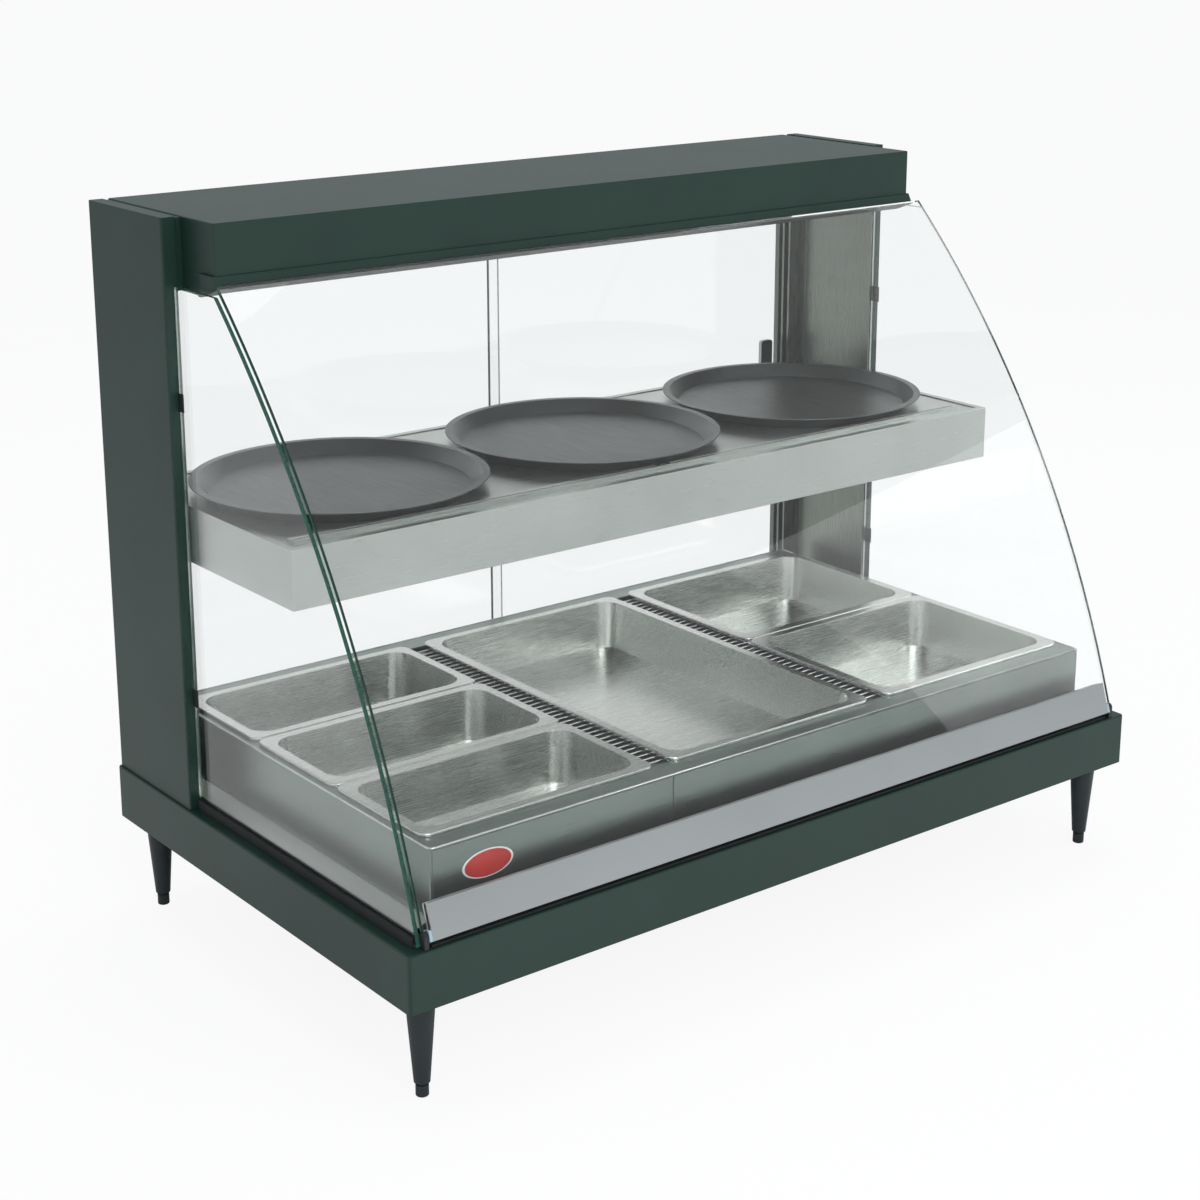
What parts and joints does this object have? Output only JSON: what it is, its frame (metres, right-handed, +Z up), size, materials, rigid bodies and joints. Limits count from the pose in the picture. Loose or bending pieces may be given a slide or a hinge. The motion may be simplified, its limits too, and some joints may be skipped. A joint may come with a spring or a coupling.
{
  "type": "hot food display case",
  "caption": "Countertop heated display case with curved tilting front glass, a heated well with food pans, a heated upper shelf with round trays, and sliding rear doors.",
  "frame": {"origin": "on the counter under the centre of the base housing, at the level of the feet", "axes": "+X to the customer's right when facing the curved glass, +Y to the serving side, +Z up"},
  "size_m": [1.156, 0.6756, 0.9138],
  "materials": {
    "green_paint": "satin green powder coat",
    "stainless": "brushed stainless steel",
    "pan_steel": "bright drawn stainless steel",
    "tray_metal": "seasoned dull aluminium",
    "black_plastic": "black moulded nylon",
    "hinge_steel": "black zinc plate",
    "coated_sheet": "dark coated sheet",
    "aluminium": "satin anodised",
    "clear_glass": "clear tempered, green edge",
    "lamp_glass": "frosted tube",
    "ceramic": "white ceramic",
    "element_metal": "oxidised sheath",
    "chrome_wire": "bright plated wire",
    "silicone_blanket": "red-brown silicone",
    "mineral_wool": "pressed wool pad",
    "clear_plastic": "clear blue-tinted plastic",
    "seal_rubber": "soft black rubber"
  },
  "bodies": {
    "case": {"base_deck": "coated_sheet", "base_floor": "coated_sheet", "base_housing": "green_paint", "column_liners": "stainless", "column_screws": "stainless", "columns": "green_paint", "control_bodies": "black_plastic", "control_panel": "stainless", "door_tracks": "aluminium", "element_guard": "chrome_wire", "glass_top_seal": "seal_rubber", "heater_blankets": "silicone_blanket", "hinge_brackets": "hinge_steel", "hood_bottom": "green_paint", "hood_cap": "green_paint", "hood_element": "element_metal", "hood_mount_bars": "green_paint", "hood_nose": "green_paint", "hood_reflector": "aluminium", "inlet_gland": "black_plastic", "insulation_pads": "mineral_wool", "lamp_sockets": "ceramic", "lamps": "lamp_glass", "legs": "black_plastic", "rear_jambs": "stainless", "shelf_bottom_cover": "stainless", "shelf_brackets": "stainless", "shelf_plate": "stainless", "shelf_rail": "stainless", "shelf_skirt": "stainless", "side_channels": "black_plastic", "side_glasses": "clear_glass", "side_sills": "stainless", "well_front_skirts": "stainless", "well_shell": "stainless", "wire_racks": "chrome_wire"},
    "front_glass": {"front_glass": "clear_glass", "glass_rail": "aluminium", "rail_end_caps": "clear_plastic"},
    "door_left": {"door_left": "clear_glass", "door_pull_left": "aluminium"},
    "door_right": {"door_right": "clear_glass", "door_pull_right": "aluminium"},
    "pan_full_centre": {"pan_full_centre": "pan_steel"},
    "pan_half_front": {"pan_half_front": "pan_steel"},
    "pan_half_rear": {"pan_half_rear": "pan_steel"},
    "pan_third_front": {"pan_third_front": "pan_steel"},
    "pan_third_middle": {"pan_third_middle": "pan_steel"},
    "pan_third_rear": {"pan_third_rear": "pan_steel"},
    "tray_centre": {"tray_centre": "tray_metal"},
    "tray_left": {"tray_left": "tray_metal"},
    "tray_right": {"tray_right": "tray_metal"},
    "rocker_heat": {"rocker_heat": "black_plastic"},
    "rocker_light": {"rocker_light": "black_plastic"},
    "knob_well": {"knob_well": "black_plastic"},
    "knob_shelf": {"knob_shelf": "black_plastic"},
    "foot_front_left": {"foot_front_left": "black_plastic"},
    "foot_front_right": {"foot_front_right": "black_plastic"},
    "foot_rear_left": {"foot_rear_left": "black_plastic"},
    "foot_rear_right": {"foot_rear_right": "black_plastic"}
  },
  "joints": [
    {"name": "front_glass_tilt", "type": "hinge", "parent": "case", "child": "front_glass", "pos_m": [0, -0.32929, 0.20339], "axis": [1, 0, 0], "range_deg": [0, 45]},
    {"name": "door_left_slide", "type": "slide", "parent": "case", "child": "door_left", "axis": [1, 0, 0], "range_m": [0, 0.48]},
    {"name": "door_right_slide", "type": "slide", "parent": "case", "child": "door_right", "axis": [-1, 0, 0], "range_m": [0, 0.48]},
    {"name": "pan_full_centre_lift", "type": "slide", "parent": "case", "child": "pan_full_centre", "axis": [0, 0, 1], "range_m": [0, 0.066]},
    {"name": "pan_half_front_lift", "type": "slide", "parent": "case", "child": "pan_half_front", "axis": [0, 0, 1], "range_m": [0, 0.066]},
    {"name": "pan_half_rear_lift", "type": "slide", "parent": "case", "child": "pan_half_rear", "axis": [0, 0, 1], "range_m": [0, 0.066]},
    {"name": "pan_third_front_lift", "type": "slide", "parent": "case", "child": "pan_third_front", "axis": [0, 0, 1], "range_m": [0, 0.066]},
    {"name": "pan_third_middle_lift", "type": "slide", "parent": "case", "child": "pan_third_middle", "axis": [0, 0, 1], "range_m": [0, 0.066]},
    {"name": "pan_third_rear_lift", "type": "slide", "parent": "case", "child": "pan_third_rear", "axis": [0, 0, 1], "range_m": [0, 0.066]},
    {"name": "tray_centre_lift", "type": "slide", "parent": "case", "child": "tray_centre", "axis": [0, 0, 1], "range_m": [0, 0.1]},
    {"name": "tray_left_lift", "type": "slide", "parent": "case", "child": "tray_left", "axis": [0, 0, 1], "range_m": [0, 0.1]},
    {"name": "tray_right_lift", "type": "slide", "parent": "case", "child": "tray_right", "axis": [0, 0, 1], "range_m": [0, 0.1]},
    {"name": "rocker_heat_press", "type": "hinge", "parent": "case", "child": "rocker_heat", "pos_m": [-0.104, 0.3148, 0.15525], "axis": [1, 0, 0], "range_deg": [0, 18]},
    {"name": "rocker_light_press", "type": "hinge", "parent": "case", "child": "rocker_light", "pos_m": [-0.058, 0.3148, 0.15525], "axis": [1, 0, 0], "range_deg": [0, 18]},
    {"name": "knob_well_turn", "type": "hinge", "parent": "case", "child": "knob_well", "pos_m": [0.042, 0.3238, 0.15525], "axis": [0, 1, 0], "range_deg": [0, 270]},
    {"name": "knob_shelf_turn", "type": "hinge", "parent": "case", "child": "knob_shelf", "pos_m": [0.104, 0.3238, 0.15525], "axis": [0, 1, 0], "range_deg": [0, 270]},
    {"name": "foot_front_left_turn", "type": "hinge", "parent": "case", "child": "foot_front_left", "pos_m": [-0.542, -0.3018, 0.0085], "axis": [0, 0, 1], "continuous": true},
    {"name": "foot_front_right_turn", "type": "hinge", "parent": "case", "child": "foot_front_right", "pos_m": [0.542, -0.3018, 0.0085], "axis": [0, 0, 1], "continuous": true},
    {"name": "foot_rear_left_turn", "type": "hinge", "parent": "case", "child": "foot_rear_left", "pos_m": [-0.542, 0.3018, 0.0085], "axis": [0, 0, 1], "continuous": true},
    {"name": "foot_rear_right_turn", "type": "hinge", "parent": "case", "child": "foot_rear_right", "pos_m": [0.542, 0.3018, 0.0085], "axis": [0, 0, 1], "continuous": true}
  ]
}
